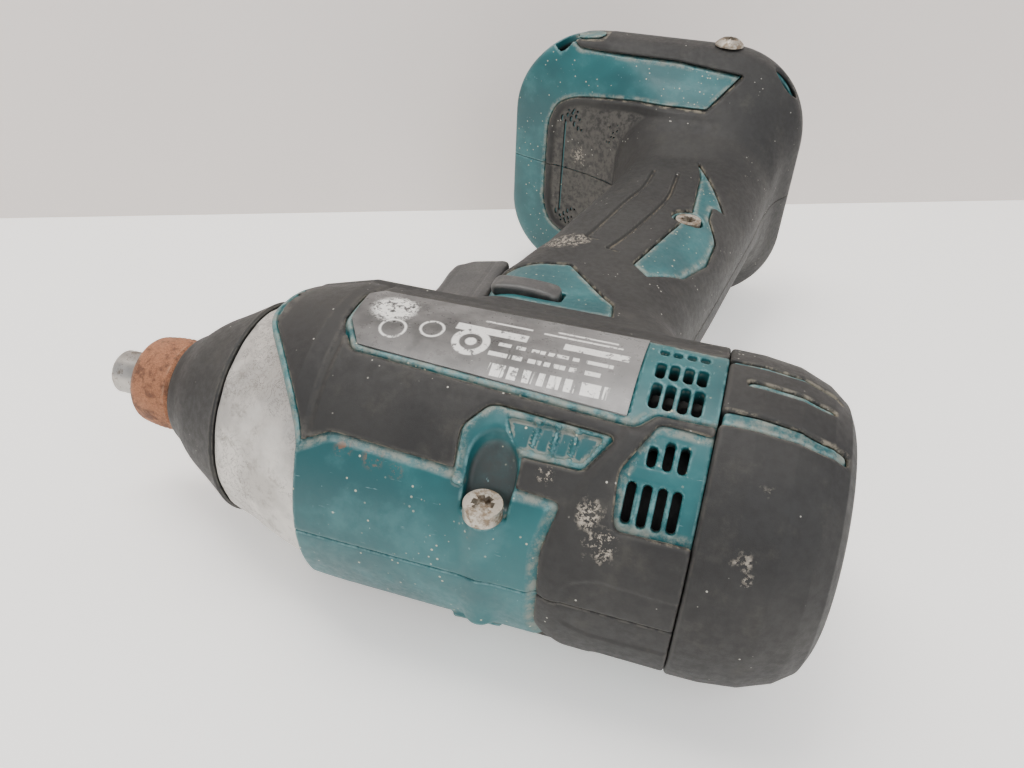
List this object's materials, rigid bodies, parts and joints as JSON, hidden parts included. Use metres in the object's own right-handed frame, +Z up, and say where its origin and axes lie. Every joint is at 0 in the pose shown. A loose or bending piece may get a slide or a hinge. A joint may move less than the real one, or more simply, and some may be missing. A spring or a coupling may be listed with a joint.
{
  "type": "cordless impact driver",
  "caption": "Short-nosed cordless impact driver, bare tool lying on its side: hex bit sleeve, alloy hammer case, two-tone clamshell with rubber grip, vents, trigger and battery foot.",
  "frame": {"origin": "centre of the footprint at floor level, with the tool lying on its left side: the side of the head and the rim of the foot touch the floor", "axes": "+X along the spindle from the nose to the motor end, +Y from the head towards the battery foot, +Z up through the tool's right side"},
  "size_m": [0.137, 0.1938, 0.0814],
  "materials": {
    "teal_plastic": "fine moulded grain, scuffed",
    "black_rubber": "worn, dusty overmould",
    "cast_aluminium": "tumbled casting, scratched",
    "worn_steel": "bright with light wear",
    "rusty_steel": "brown oxide",
    "zinc_screw": "zinc plated",
    "brass_part": "plain",
    "copper_part": "enamelled copper",
    "carbon": "pressed carbon",
    "magnet": "ferrite",
    "dark_plastic": "glass filled nylon",
    "lens": "clear lens",
    "board": "circuit board",
    "wire_red": "insulation",
    "label_film": "laminated film"
  },
  "bodies": {
    "housing": {"housing_right": "teal_plastic", "housing_left": "teal_plastic", "overmold_right": "black_rubber", "overmold_left": "black_rubber", "rear_cover": "black_rubber", "rear_cover_screws": "zinc_screw", "housing_screws": "zinc_screw", "hook_screw": "zinc_screw", "hook_inserts": "brass_part", "hammer_case": "cast_aluminium", "bumper": "black_rubber", "anvil_bush": "brass_part", "anvil_washer": "dark_plastic", "ring_gear": "worn_steel", "bearing_box": "dark_plastic", "spindle_bearing": "worn_steel", "rotor_bearing_front": "worn_steel", "rotor_bearing_rear": "worn_steel", "motor_yoke": "worn_steel", "magnets": "magnet", "brush_holder": "dark_plastic", "carbon_brushes": "carbon", "brush_springs": "worn_steel", "switch_body": "dark_plastic", "trigger_spring": "worn_steel", "led_lens": "lens", "led_board": "board", "terminal_block": "dark_plastic", "battery_terminals": "brass_part", "leads": "wire_red", "label_plate": "label_film"},
    "spindle": {"spindle": "worn_steel", "planet_pins": "worn_steel", "cam_balls": "worn_steel", "hammer_spring": "worn_steel"},
    "planet_1": {"planet_gear_1": "worn_steel"},
    "planet_2": {"planet_gear_2": "worn_steel"},
    "hammer": {"hammer": "worn_steel", "spring_washer": "worn_steel"},
    "anvil": {"anvil": "worn_steel", "bit_balls": "worn_steel", "sleeve_ring": "worn_steel", "sleeve_washer": "worn_steel", "sleeve_spring": "worn_steel"},
    "sleeve": {"bit_sleeve": "rusty_steel"},
    "rotor": {"rotor": "worn_steel", "armature_core": "worn_steel", "windings": "copper_part", "commutator": "copper_part", "fan": "dark_plastic"},
    "trigger": {"trigger": "dark_plastic"},
    "lever": {"reversing_lever": "dark_plastic"}
  },
  "joints": [
    {"name": "spindle_spin", "type": "hinge", "parent": "housing", "child": "spindle", "pos_m": [0.0015, -0.06863, 0.0278], "axis": [1, 0, 0], "continuous": true},
    {"name": "planet_1_spin", "type": "hinge", "parent": "spindle", "child": "planet_1", "pos_m": [0.0045, -0.06769, 0.01624], "axis": [1, 0, 0], "continuous": true},
    {"name": "planet_2_spin", "type": "hinge", "parent": "spindle", "child": "planet_2", "pos_m": [0.0045, -0.06956, 0.03936], "axis": [1, 0, 0], "continuous": true},
    {"name": "hammer_slide", "type": "slide", "parent": "spindle", "child": "hammer", "axis": [1, 0, 0], "range_m": [0, 0.006], "stiffness_N_per_m": 20000, "springref_m": -0.006, "deforming": ["hammer_spring"]},
    {"name": "anvil_spin", "type": "hinge", "parent": "housing", "child": "anvil", "pos_m": [-0.0485, -0.06863, 0.0278], "axis": [1, 0, 0], "continuous": true},
    {"name": "sleeve_slide", "type": "slide", "parent": "anvil", "child": "sleeve", "axis": [-1, 0, 0], "range_m": [0, 0.0026], "stiffness_N_per_m": 1500, "springref_m": -0.003, "deforming": ["sleeve_spring"]},
    {"name": "rotor_spin", "type": "hinge", "parent": "housing", "child": "rotor", "pos_m": [0.0315, -0.06863, 0.0278], "axis": [1, 0, 0], "continuous": true},
    {"name": "trigger_pull", "type": "slide", "parent": "housing", "child": "trigger", "axis": [1, 0, 0], "range_m": [0, 0.007], "stiffness_N_per_m": 900, "springref_m": -0.006, "deforming": ["trigger_spring"]},
    {"name": "lever_shift", "type": "slide", "parent": "housing", "child": "lever", "axis": [0, -0.0806, 0.9967], "range_m": [-0.0035, 0.0035]}
  ],
  "couplings": [
    {"joint": "anvil_spin", "follows": "spindle_spin", "ratio": 1},
    {"joint": "rotor_spin", "follows": "spindle_spin", "ratio": 8.2857},
    {"joint": "planet_1_spin", "follows": "spindle_spin", "ratio": -2.3182},
    {"joint": "planet_2_spin", "follows": "spindle_spin", "ratio": -2.3182}
  ]
}
